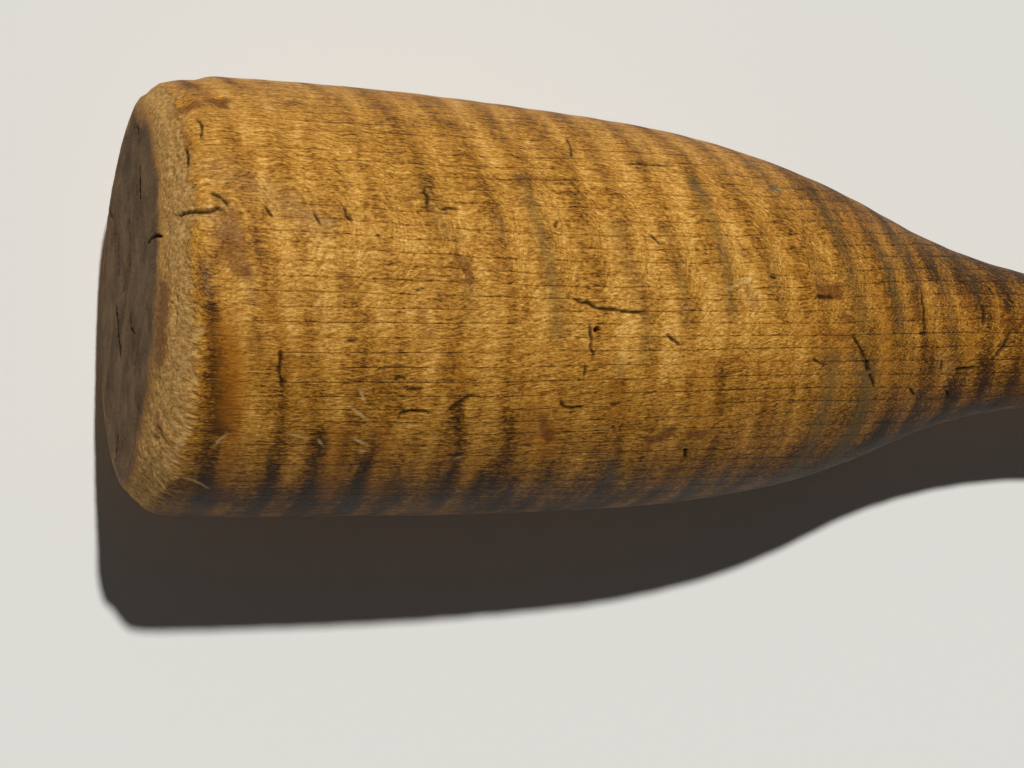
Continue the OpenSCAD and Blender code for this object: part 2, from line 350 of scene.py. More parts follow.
# How rough and bare the rim is: places round it where the bare wood reaches further, and how far
BARE_REACH = [(-180, 3.4), (-120, 4.2), (-90, 3.2), (-60, 2.8), (-45, 3.2), (-30, 3.2), (-18, 3.8), (-8, 3.4),
              (0, 3.6), (10, 4.3), (20, 5.0), (30, 5.6), (40, 5.2), (55, 4.8), (65, 4.2), (90, 3.6), (130, 4.4),
              (180, 3.4)]

# Colours, in the 0 to 255 steps of a colour picker
PALE_GOLD = (236, 190, 108)
GOLD = (210, 154, 68)
HONEY = (182, 127, 47)
AMBER = (146, 96, 28)
BROWN = (93, 58, 16)
DARK = (48, 30, 11)
ORANGE = (168, 104, 26)
RED_BROWN = (96, 48, 18)
GREY_GREEN = (92, 80, 46)
GREY_VIOLET = (112, 96, 76)
DULL_WOOD = (180, 130, 66)
RAW_WOOD = (212, 168, 102)
PALE_WOOD = (234, 198, 138)
END_GRAIN = (148, 118, 84)
SCRATCH = (224, 190, 130)
PAINT = (58, 98, 88)


# Numbers from colours and shares

def linear(colour):
    """A picked colour as the shader's linear red, green, blue, alpha."""
    parts = [c / 255 for c in colour]
    return tuple(p / 12.92 if p <= 0.04045 else ((p + 0.055) / 1.055) ** 2.4 for p in parts) + (1.0,)


def smooth(value, low, high):
    """0 below low, 1 above high, and an even curve between."""
    t = np.clip((value - low) / (high - low), 0, 1)
    return t * t * (3 - 2 * t)


class Lattice:
    """Smooth noise from -1 to 1 over three axes, the same each run."""

    def __init__(self, seed):
        draw = np.random.default_rng(seed)
        self.order = draw.permutation(256)
        self.height = draw.uniform(-1, 1, 256)

    def at(self, x, y, z):
        cell = [np.floor(v).astype(int) for v in (x, y, z)]
        part = [v - c for v, c in zip((x, y, z), cell)]
        part = [p * p * p * (p * (p * 6 - 15) + 10) for p in part]
        total = 0
        for i in (0, 1):
            for j in (0, 1):
                for k in (0, 1):
                    hashed = self.order[(cell[0] + i) & 255]
                    hashed = self.order[(hashed + cell[1] + j) & 255]
                    hashed = self.order[(hashed + cell[2] + k) & 255]
                    weight = ((part[0] if i else 1 - part[0]) * (part[1] if j else 1 - part[1])
                              * (part[2] if k else 1 - part[2]))
                    total = total + weight * self.height[hashed]
        return total


class Body:
    """The masher's surface as a grid of rows along its outline and columns round its axis."""

    def __init__(self):
        mount = next(m for m in frame["record"]["mounts"] if m["name"] == "striking_face")
        self.centre = np.array(mount["pos_m"]) / MM
        self.axis = -np.array(mount["axis"])
        self.up = np.array((-self.axis[2], 0, self.axis[0]))
        self.side = np.array((0, -1, 0))
        self.read_outline()
        self.lay_grid()
        self.name_grain()
        self.height = np.zeros_like(self.along)
        self.marks = {name: np.zeros_like(self.along) for name in (
            "band", "amber", "green", "stain", "line", "bare", "gloss", "pale", "teal", "grime_and_sheen", "end", "curl",
            "handled", "lower", "growth")}

    def read_outline(self):
        """Takes the turned outline from the CAD node, and smooths the arcs' short straight steps."""
        mesh = frame["nodes"]["turned_body"].data
        points = np.empty(len(mesh.vertices) * 3)
        mesh.vertices.foreach_get("co", points)
        points = points.reshape(-1, 3) / MM - self.centre
        along = points @ self.axis
        radius = np.linalg.norm(points - along[:, None] * self.axis, axis=1)
        place = np.round(along, 1)
        rings = []
        for p in np.unique(place):
            here = radius[place == p]
            if len(here) > 24 and (p == 0 or np.ptp(here) < 0.05):
                rings.append((max(along[place == p].mean(), 0.0), here.max()))
        end = along.max()
        rings = np.array([(0.0, 0.0)] + rings + [(end, 0.0)])
        rings = rings[np.r_[True, np.any(np.diff(rings, axis=0) != 0, axis=1)]]
        run = np.r_[0, np.cumsum(np.hypot(*np.diff(rings, axis=0).T))]
        step, spread = 0.05, 0.7
        fine = np.arange(0, run[-1], step)
        s, r = np.interp(fine, run, rings[:, 0]), np.interp(fine, run, rings[:, 1])
        reach = int(4 * spread / step)
        weight = np.exp(-0.5 * (np.arange(-reach, reach + 1) * step / spread) ** 2)
        weight /= weight.sum()
        s = np.convolve(np.r_[s[reach:0:-1], s, s[-2:-reach - 2:-1]], weight, "valid")
        r = np.convolve(np.r_[-r[reach:0:-1], r, -r[-2:-reach - 2:-1]], weight, "valid")
        self.run, self.outline_s, self.outline_r = fine, s, r
        self.length = fine[-1]
        self.rim_run = np.interp(0.02, s[:len(s) // 2], fine[:len(s) // 2])

    def run_of(self, along):
        """How far along the outline a place on the side is."""
        return np.interp(along, self.outline_s, self.run)

    def lay_grid(self):
        face_end, rim_end = self.run_of(0.05) - 1.5, self.run_of(8.0)
        stops = [(0.4, FACE_STEP), (face_end, FACE_STEP), (face_end + 1, RIM_STEP), (rim_end, RIM_STEP),
                 (rim_end + 2, HEAD_STEP), (self.run_of(HEAD_END), HEAD_STEP),
                 (self.run_of(GRIP_START), GRIP_STEP), (self.length, GRIP_STEP)]
        rows = [0.4]
        while rows[-1] < self.length - 0.7:
            rows.append(rows[-1] + np.interp(rows[-1], *zip(*stops)))
        self.rows = np.array(rows[:-1] + [self.length - 0.4])
        widest = self.outline_r.max()
        upper = int((UPPER_TO - UPPER_FROM) * math.pi / 180 * widest / UPPER_STEP)
        lower = int((360 - UPPER_TO + UPPER_FROM) * math.pi / 180 * widest / LOWER_STEP)
        turns = np.r_[np.linspace(UPPER_FROM, UPPER_TO, upper, endpoint=False),
                      np.linspace(UPPER_TO, UPPER_FROM + 360, lower, endpoint=False)]
        self.turns = turns
        s, r = np.interp(self.rows, self.run, self.outline_s), np.interp(self.rows, self.run, self.outline_r)
        slope_s, slope_r = np.gradient(self.outline_s, self.run), np.gradient(self.outline_r, self.run)
        tangent = np.stack([np.interp(self.rows, self.run, slope_s), np.interp(self.rows, self.run, slope_r)])
        tangent /= np.linalg.norm(tangent, axis=0)
        self.along = np.repeat(s[:, None], len(turns), 1)
        self.radius = np.repeat(r[:, None], len(turns), 1)
        self.out_s = np.repeat(-tangent[1][:, None], len(turns), 1)
        self.out_r = np.repeat(tangent[0][:, None], len(turns), 1)
        self.turn = np.repeat(((turns + 180) % 360 - 180)[None, :], len(self.rows), 0)
        angle = np.radians(self.turn)
        self.up_mm, self.side_mm = self.radius * np.cos(angle), self.radius * np.sin(angle)

    def name_grain(self):
        """The wood's own axes: along the log, across its rings, and the waves of the curl."""
        lean = math.radians(RING_TURN)
        tree = self.up_mm * math.cos(lean) + self.side_mm * math.sin(lean)
        cross = self.side_mm * math.cos(lean) - self.up_mm * math.sin(lean)
        self.tree, self.cross = tree, cross
        broad, wobble = Lattice(SEED + 1), Lattice(SEED + 2)
        drift = 1.3 * wobble.at(self.along / 16, cross / 14, tree / 14) + 0.4 * wobble.at(
            self.along / 5 + 9, cross / 4, tree / 4)
        place = self.along - CURL_SLANT * (cross - 0.29 * self.radius) + drift
        self.phase = np.interp(place, CURL_AT, np.arange(len(CURL_AT)))
        flat = np.exp(-((self.turn - RING_TURN) / FLAT_SPREAD) ** 2)
        flat = flat + np.exp(-((np.abs(self.turn - RING_TURN) - 180) / FLAT_SPREAD) ** 2)
        wave = np.sin(2 * math.pi * self.phase + 1.1) * (0.22 + 0.78 * flat)
        calm = 0.75 + 0.45 * broad.at(self.along / 22, cross / 18, tree / 18)
        ripple = 0.06 * wobble.at(self.along / 2.6 + 31, cross / 5, tree / 5)
        rise = (0.40 * wave * calm + ripple - RING_TILT * self.along + cross ** 2 / (2 * RING_BEND)
                + 1.2 * broad.at(self.along / 60 + 5, cross / 40, tree / 40))
        sway = 0.13 * np.cos(2 * math.pi * self.phase + 0.4) * calm + 0.10 * wobble.at(
            self.along / 3.1 + 57, cross / 6, tree / 6)
        self.grain = np.stack([self.along, cross + sway, tree + rise], -1)
        widest = self.outline_r.max()
        level = self.radius * np.sin(np.radians(self.turn - LINES_TURN))
        spread = widest * np.arcsin(np.clip(level / widest, -1, 1))
        lean_in = np.interp(self.along, *zip(*LINES_DRIFT))
        self.growth = (spread + lean_in + 0.12 * wave * calm + 1.0 * broad.at(
            self.along / 80 + 15, cross / 16, tree / 16) + 0.12 * wobble.at(
            self.along / 8 + 77, cross / 5, tree / 5)) / LINE_SPACING

    # Marks and cuts

    def window(self, places, reach):
        """The block of the grid within reach of these places: its slices, and the places on it."""
        runs = [self.run_of(s) for s, _ in places]
        low = np.searchsorted(self.rows, min(runs) - reach)
        high = np.searchsorted(self.rows, max(runs) + reach)
        middle = np.mean([turn for _, turn in places])
        offset = (self.turn[0] - middle + 180) % 360 - 180
        thin = max(self.radius[low:high].min() if high > low else 1, 2.0)
        spread = max(abs(turn - middle) for _, turn in places) + math.degrees(reach / thin)
        columns = np.nonzero(np.abs(offset) <= spread)[0]
        return slice(low, high), columns, runs, offset[columns], middle

    def near(self, places, reach):
        """Distance from a line through places, and the share of its length, over the block near it."""
        rows, columns, runs, offset, middle = self.window(places, reach)
        y = self.rows[rows][:, None]
        x = np.radians(offset)[None, :] * self.radius[rows, 0][:, None]
        radii = [np.interp(run, self.run, self.outline_r) for run in runs]
        points = [(run, math.radians(turn - middle) * r) for run, (_, turn), r in zip(runs, places, radii)]
        best, share = np.full((y.shape[0], x.shape[1]), 1e9), np.zeros((y.shape[0], x.shape[1]))
        lengths = [math.dist(p, q) for p, q in zip(points, points[1:])]
        total, passed = max(sum(lengths), 1e-9), 0
        for (p, q), length in zip(zip(points, points[1:]), lengths):
            dy, dx = q[0] - p[0], q[1] - p[1]
            t = np.clip(((y - p[0]) * dy + (x - p[1]) * dx) / max(length ** 2, 1e-9), 0, 1)
            gap = np.hypot(y - p[0] - t * dy, x - p[1] - t * dx)
            nearer = gap < best
            best = np.where(nearer, gap, best)
            share = np.where(nearer, (passed + t * length) / total, share)
            passed += length
        return (rows, columns), best, share

    def block(self, field, where):
        return field[where[0]][:, where[1]]

    def put(self, field, where, value):
        part = field[where[0]]
        part[:, where[1]] = value

    def paint(self, name, strokes, ragged=0.0, firm=2):
        """Strokes on a mark, each with a half width, a strength and its places. Firmer
        ones keep their strength further out, and end sooner."""
        mark = self.marks[name]
        for half, strength, places in strokes:
            where, gap, share = self.near(places, half * 3 + 1.5)
            rough = gap + ragged * half * self.block(self.fray, where)
            cover = np.exp(-(np.maximum(rough, 0) / half) ** firm) * (1 - smooth(gap, half * 2, half * 3))
            self.put(mark, where, np.maximum(self.block(mark, where), strength * cover))

    def cut(self, cracks, shade, mark="line", taper=0.16, waver=0.10):
        """Narrow pointed cuts into the surface, each with a half width, a depth and its places."""
        field = self.marks[mark]
        for half, depth, places in cracks:
            where, gap, share = self.near(places, half * 4 + 1.0)
            ends = smooth(share, 0, taper) * smooth(1 - share, 0, taper)
            gap = gap + waver * self.block(self.speck, where)
            opening = half * (0.35 + 0.65 * ends)
            inside = 1 - smooth(gap, 0.2 * opening, opening + 0.10)
            self.put(self.height, where, self.block(self.height, where) - depth * inside * (0.3 + 0.7 * ends))
            tint = shade * (1 - smooth(gap, 0.75 * opening, opening + 0.22)) * (0.45 + 0.55 * ends)
            self.put(field, where, np.maximum(self.block(field, where), tint))

    def dent(self, place, radius, depth):
        where, gap, _ = self.near([place, place], radius * 1.6)
        bowl = 1 - smooth(gap, 0, radius * 1.25)
        self.put(self.height, where, self.block(self.height, where) - depth * bowl)
        return where, bowl

    def add_noise(self):
        """Noise fields that several marks share: frayed along the fibres, and fine specks."""
        fray, speck = Lattice(SEED + 3), Lattice(SEED + 4)
        s, c, t = self.grain[..., 0], self.grain[..., 1], self.grain[..., 2]
        self.fray = (fray.at(s / 2.6, c / 0.5, t / 0.5) + 0.6 * fray.at(s / 1.1 + 40, c / 0.35, t / 0.35)
                     + 0.5 * speck.at(s / 3 + 7, c / 2.2, t / 2.2))
        self.speck = speck.at(s / 0.8, c / 0.55, t / 0.55)
        self.blotch = speck.at(s / 6 + 70, c / 4.5, t / 4.5)


def wear_body(body):
    """Out of round, waves over the curl, dents and the crowned striking face."""
    form, knock = Lattice(SEED + 5), Lattice(SEED + 6)
    s, c, t = body.along, body.cross, body.tree
    body.height += 0.10 * form.at(s / 45, c / 30, t / 30) * smooth(body.radius, 4, 14)
    body.height += 0.05 * form.at(s / 12 + 20, c / 9, t / 9)
    body.height += 0.03 * np.cos(2 * math.pi * body.phase) * smooth(body.along, 4, 12)
    upper = 0.5 + 0.5 * np.cos(np.radians(body.turn))
    crown = smooth(body.radius, 19, 28) * (1 - smooth(body.along, 1.0, 5.0))
    body.height -= (0.2 + 0.9 * upper ** 2) * crown
    outer = smooth(body.radius, 22, 29) + smooth(body.along, 60, 80) * (1 - smooth(body.radius, 22, 29))
    for (along, turn), (reach, spread), rise in SETTLED:
        body.height += rise * outer * np.exp(-((body.along - along) / reach) ** 4 - (
            ((body.turn - turn + 180) % 360 - 180) / spread) ** 2)
    draw = np.random.default_rng(SEED + 7)
    for _ in range(150):
        along = draw.uniform(6, 292)
        turn = draw.uniform(-180, 180)
        radius, depth = draw.uniform(0.5, 2.2), draw.uniform(0.02, 0.08)
        body.dent((along, turn), radius, depth)


def worn_and_lit_reach(body):
    """How far from the middle of the face its grey end grain reaches: less far towards the top, where its edge is
    worn and where the paler wood also stands in for the light that the rounded top of the rim catches.
    """
    upper = np.maximum(np.cos(np.radians(body.turn)), 0)
    # Less far at the top: the paler wood there is wear and also painted light on the rounded rim
    return 25.5 - 4.0 * upper + 1.3 * body.blotch + 0.5 * body.fray


def wear_rim(body):
    """The bare, crushed fibres along the edge of the striking face."""
    turns, reaches = zip(*BARE_REACH)
    reach = np.interp(body.turn, turns, reaches)
    crush = Lattice(SEED + 8)
    s, c, t = body.grain[..., 0], body.grain[..., 1], body.grain[..., 2]
    edge = body.along + 0.75 * body.fray * smooth(body.along, 0.6, 2.4) + 0.5 * body.blotch
    bare = 1 - smooth(edge, reach - 0.7, reach + 0.5)
    inner = body.radius - worn_and_lit_reach(body) - 1.5
    bare = bare * smooth(inner, 0.0, 3.5)
    bare = bare * (1 - 0.8 * np.minimum(body.marks["stain"], 1))
    body.marks["bare"] = np.maximum(body.marks["bare"], bare)
    rough = (crush.at(s / 1.9, c / 1.1, t / 1.1) + 0.6 * crush.at(s / 0.8 + 9, c / 0.5, t / 0.5)
             + 0.8 * crush.at(s / 3.6, c / 2.6 + 4, t / 2.6))
    body.height += 0.15 * rough * bare - 0.10 * bare
    lip = np.exp(-((edge - reach) / 0.5) ** 2)
    body.height += 0.05 * lip * smooth(body.along, 1, 2)
    for place, along, across, depth in CHIPS:
        where, gap, _ = body.near([(place[0], place[1] - across), (place[0], place[1] + across)], along * 2)
        broken = 1 - smooth(gap + 0.35 * body.block(body.fray, where), 0.2 * along, along)
        body.put(body.height, where, body.block(body.height, where) - depth * broken)


def wear_face(body):
    """End grain, drying cracks and dents in the striking face."""
    on_face = (body.along < 0.5) & (body.radius < 27.5)
    across, up = -body.side_mm, body.up_mm
    ring = (body.grain[..., 2] / RING_WIDTH) % 1
    grain = Lattice(SEED + 9)
    fine = grain.at(across / 0.5, up / 0.5, body.along) + 0.6 * grain.at(across / 1.6, up / 1.6, body.along + 9)
    ridge = smooth(ring, 0.1, 0.85) - smooth(ring, 0.9, 1.0)
    inside = 1 - smooth(body.along, 0.0, 0.5)
    body.height += inside * (0.05 * (ridge - 0.5) + 0.05 * fine)
    last = np.nonzero(on_face.any(axis=1))[0].max() + 1
    x, y = across[:last], up[:last]
    for half, depth, places in FACE_CRACKS:
        best = np.full(x.shape, 1e9)
        share = np.zeros(x.shape)
        lengths = [math.dist(p, q) for p, q in zip(places, places[1:])]
        total, passed = sum(lengths), 0
        for (p, q), length in zip(zip(places, places[1:]), lengths):
            dx, dy = q[0] - p[0], q[1] - p[1]
            along = np.clip(((x - p[0]) * dx + (y - p[1]) * dy) / length ** 2, 0, 1)
            gap = np.hypot(x - p[0] - along * dx, y - p[1] - along * dy)
            share = np.where(gap < best, (passed + along * length) / total, share)
            best = np.minimum(best, gap)
            passed += length
        best = best + 0.12 * fine[:last]
        ends = smooth(share, 0, 0.2) * smooth(1 - share, 0, 0.2)
        opening = half * (0.3 + 0.7 * ends)
        body.height[:last] -= depth * (1 - smooth(best, 0.3 * opening, opening + 0.22))
        tint = (1 - smooth(best, 0.5 * opening, opening + 0.22)) * (0.5 + 0.5 * ends)
        body.marks["line"][:last] = np.maximum(body.marks["line"][:last], tint)
    for (a, b), radius, depth in FACE_DENTS:
        gap = np.hypot(x - a, y - b)
        body.height[:last] -= depth * (1 - smooth(gap, 0, radius * 1.3))


def bore_worm_hole(body):
    place, radius, depth = WORM
    where, gap, _ = body.near([place, place], 1.4)
    hole = 1 - smooth(gap, radius * 0.7, radius + 0.12)
    body.put(body.height, where, body.block(body.height, where) - depth * hole)
    line = body.marks["line"]
    body.put(line, where, np.maximum(body.block(line, where), 1 - smooth(gap, radius * 0.5, radius + 0.05)))


def figure_body(body):
    """Paints the marks that the material reads: curl, stains, grime with painted sheen, gloss, end grain, and
    painted shade on the lower side.
    """
    marks = body.marks
    patch = Lattice(SEED + 12)
    s, c, t = body.along, body.cross, body.tree
    strength = 0.62 + 0.5 * patch.at(s / 26, c / 22, t / 22)
    marks["curl"] = np.cos(2 * math.pi * body.phase) * strength
    seen = smooth(body.turn, -78, -58) * (1 - smooth(body.turn, 62, 84)) * (1 - smooth(body.along, 142, 152))
    hidden = 1 - seen
    crest = smooth(np.cos(2 * math.pi * body.phase + 0.5 * body.blotch), 0.35, 1.0)
    thick = smooth(patch.at(s / 9 + 3, c / 14, t / 14) + 0.25, -0.3, 0.7)
    marks["band"] = 0.5 * crest * thick * hidden * smooth(body.along, 3, 6)
    body.paint("band", DARK_CURL, ragged=0.22)
    body.paint("green", GREEN_CURL, ragged=0.2)
    body.paint("amber", AMBER_CURL, ragged=0.2)
    body.paint("stain", STAINS, ragged=0.5, firm=4)
    body.paint("grime_and_sheen", GRIME_AND_SHEEN, ragged=0.4)
    body.paint("teal", TEAL, ragged=0.5)
    marks["green"] += 0.35 * hidden * smooth(patch.at(s / 14 + 8, c / 10, t / 10), 0.1, 0.8) * crest
    marks["amber"] += 0.4 * hidden * smooth(patch.at(s / 12 + 18, c / 9, t / 9), 0.1, 0.8)
    marks["stain"] += 0.5 * hidden * smooth(patch.at(s / 7 + 28, c / 3, t / 3), 0.62, 0.95)
    marks["growth"] = body.growth
    top = smooth(-body.turn, -10, 60) * (1 - smooth(-body.turn, 100, 150))
    marks["handled"] = smooth(body.along, 84, 132) * (0.85 + 0.25 * body.blotch)
    marks["handled"] += top * (0.25 + 0.28 * smooth(body.along, 50, 100))
    # Painted shade: the lower side, turned away from the light, is darkened in the colour, over the darker curl that
    # it carries
    marks["lower"] = (0.6 * smooth(body.turn, 5, 42) + smooth(body.turn, 42, 68)) * (
        1 - smooth(body.turn, 90, 150))
    draw = np.random.default_rng(SEED + 13)
    for _ in range(110):
        along, turn = draw.uniform(6, 290), draw.uniform(-180, 180)
        size, dark = draw.uniform(0.18, 0.6), draw.uniform(0.2, 0.6)
        length = draw.uniform(0.3, 1.6)
        body.paint("stain", [(size, dark, [(along, turn), (along + length, turn + draw.uniform(-1, 1))])],
                   ragged=0.6)
    for place, radius, depth in GLOSSY_DENTS:
        where, bowl = body.dent(place, radius, depth)
        gloss = marks["gloss"]
        body.put(gloss, where, np.maximum(body.block(gloss, where), smooth(bowl, 0.15, 0.6)))
    marks["gloss"] = np.maximum(marks["gloss"], 0.6 * marks["grime_and_sheen"])
    reach = worn_and_lit_reach(body)
    marks["end"] = (1 - smooth(body.radius, reach, reach + 2.5)) * (1 - smooth(body.along, 1, 4))
    marks["end"] *= 1 - 0.8 * np.minimum(marks["stain"], 1)
    marks["end"] = np.where(body.along > 200, 0.55 * (1 - smooth(body.out_r, 0.25, 0.75)), marks["end"])


def crack_body(body):
    body.cut(CRACKS, shade=1.0)
    body.cut(SCRATCHES, shade=0.5, mark="pale", taper=0.4, waver=0.12)
    draw = np.random.default_rng(SEED + 17)
    extra = []
    for _ in range(70):
        along, turn = draw.uniform(8, 286), draw.uniform(88, 272)
        if draw.random() < 0.55:
            steps = [(along, turn), (along + draw.uniform(0.6, 2.6), turn + draw.uniform(-1, 1))]
        else:
            steps = [(along, turn), (along + draw.uniform(-0.5, 0.5), turn + draw.uniform(1, 3)),
                     (along + draw.uniform(-0.8, 0.8), turn + draw.uniform(3, 7))]
        extra.append((draw.uniform(0.11, 0.17), draw.uniform(0.2, 0.4), steps))
    body.cut(extra, shade=0.9)


def build_masher(body):
    """The grid as one closed mesh, with its marks as attributes."""
    rows, columns = body.along.shape
    s, r = body.along + body.height * body.out_s, body.radius + body.height * body.out_r
    angle = np.radians(body.turn)
    points = (body.centre + s[..., None] * body.axis + (r * np.cos(angle))[..., None] * body.up
              + (r * np.sin(angle))[..., None] * body.side)
    front = body.centre + body.axis * s[0].mean()
    back = body.centre + body.axis * s[-1].mean()
    points = np.concatenate([points.reshape(-1, 3), [front, back]]) * MM
    index = np.arange(rows * columns).reshape(rows, columns)
    after = np.roll(index, -1, 1)
    quads = np.stack([index[:-1], index[1:], after[1:], after[:-1]], -1).reshape(-1, 4)
    tip = rows * columns
    first = np.stack([np.full(columns, tip), index[0], after[0]], -1)
    last = np.stack([np.full(columns, tip + 1), after[-1], index[-1]], -1)
    loops = np.concatenate([quads.ravel(), first.ravel(), last.ravel()])
    sizes = np.r_[np.full(len(quads), 4), np.full(len(first) + len(last), 3)]
    starts = np.r_[0, np.cumsum(sizes)[:-1]]
    mesh = bpy.data.meshes.new("masher")
    mesh.vertices.add(len(points))
    mesh.vertices.foreach_set("co", points.ravel())
    mesh.loops.add(len(loops))
    mesh.loops.foreach_set("vertex_index", loops.astype(np.int32))
    mesh.polygons.add(len(sizes))
    mesh.polygons.foreach_set("loop_start", starts.astype(np.int32))
    mesh.polygons.foreach_set("use_smooth", np.ones(len(sizes), bool))
    mesh.update(calc_edges=True)
    mesh.validate()
    marks = body.marks
    groups = {"grain": body.grain}
    for name, members in MARK_GROUPS.items():
        groups[name] = np.stack([marks[m] for m in members], -1)
    for name, field in groups.items():
        flat = field.reshape(-1, 3)
        flat = np.concatenate([flat, [flat[:columns].mean(0), flat[-columns:].mean(0)]])
        mesh.attributes.new(name, "FLOAT_VECTOR", "POINT").data.foreach_set("vector", flat.ravel())
    piece = bpy.data.objects.new("masher", mesh)
    bpy.context.scene.collection.objects.link(piece)
    return piece


MARK_GROUPS = {
    "curl_marks": ("band", "amber", "green"),
    "spot_marks": ("stain", "line", "bare"),
    "skin_marks": ("gloss", "pale", "teal"),
    "soil_and_sheen_marks": ("grime_and_sheen", "end", "curl"),
    "wear_and_shade_marks": ("handled", "lower", "growth"),
}


# Material

class Shades:
    """Short calls for building a material's nodes."""

    def __init__(self, name):
        self.material = bpy.data.materials.new(name)
        self.material.use_nodes = True
        self.tree = self.material.node_tree
        self.shader = self.tree.nodes["Principled BSDF"]

    def feed(self, socket, value):
        if isinstance(value, bpy.types.NodeSocket):
            self.tree.links.new(value, socket)
        else:
            socket.default_value = value

    def node(self, kind, inputs, **settings):
        made = self.tree.nodes.new(kind)
        for name, value in settings.items():
            setattr(made, name, value)
        for name, value in inputs.items():
            self.feed(made.inputs[name], value)
        return made

    def vector(self, name):
        return self.node("ShaderNodeAttribute", {}, attribute_name=name).outputs["Vector"]

    def parts(self, vector):
        return list(self.node("ShaderNodeSeparateXYZ", {0: vector}).outputs)

    def math(self, operation, *values):
        return self.node("ShaderNodeMath", dict(enumerate(values)), operation=operation).outputs[0]

    def scaled(self, vector, factors):
        return self.node("ShaderNodeVectorMath", {0: vector, 1: factors}, operation="MULTIPLY").outputs[0]

    def noise(self, vector, factors, detail=2.0, rough=0.5, warp=0.0):
        return self.node("ShaderNodeTexNoise", {
            "Vector": self.scaled(vector, factors), "Scale": 1.0, "Detail": detail, "Roughness": rough,
            "Distortion": warp}).outputs["Fac"]

    def ease(self, value, low, high, start=0.0, end=1.0):
        return self.node("ShaderNodeMapRange", {
            "Value": value, "From Min": low, "From Max": high, "To Min": start, "To Max": end},
            interpolation_type="SMOOTHSTEP").outputs[0]

    def total(self, *terms):
        """The sum of terms, each a value or a pair of value and weight."""
        result = None
        for term in terms:
            value = self.math("MULTIPLY", *term) if isinstance(term, tuple) else term
            result = value if result is None else self.math("ADD", result, value)
        return result

    def mix(self, share, first, second, blend="MIX"):
        made = self.node("ShaderNodeMix", {}, data_type="RGBA", blend_type=blend)
        self.feed(made.inputs[0], share)
        self.feed(made.inputs[6], first)
        self.feed(made.inputs[7], second)
        return made.outputs[2]

    def ramp(self, value, stops):
        made = self.node("ShaderNodeValToRGB", {"Fac": value})
        band = made.color_ramp
        band.elements[0].position, band.elements[0].color = stops[0][0], linear(stops[0][1])
        band.elements[1].position, band.elements[1].color = stops[-1][0], linear(stops[-1][1])
        for place, colour in stops[1:-1]:
            band.elements.new(place).color = linear(colour)
        return made.outputs["Color"]


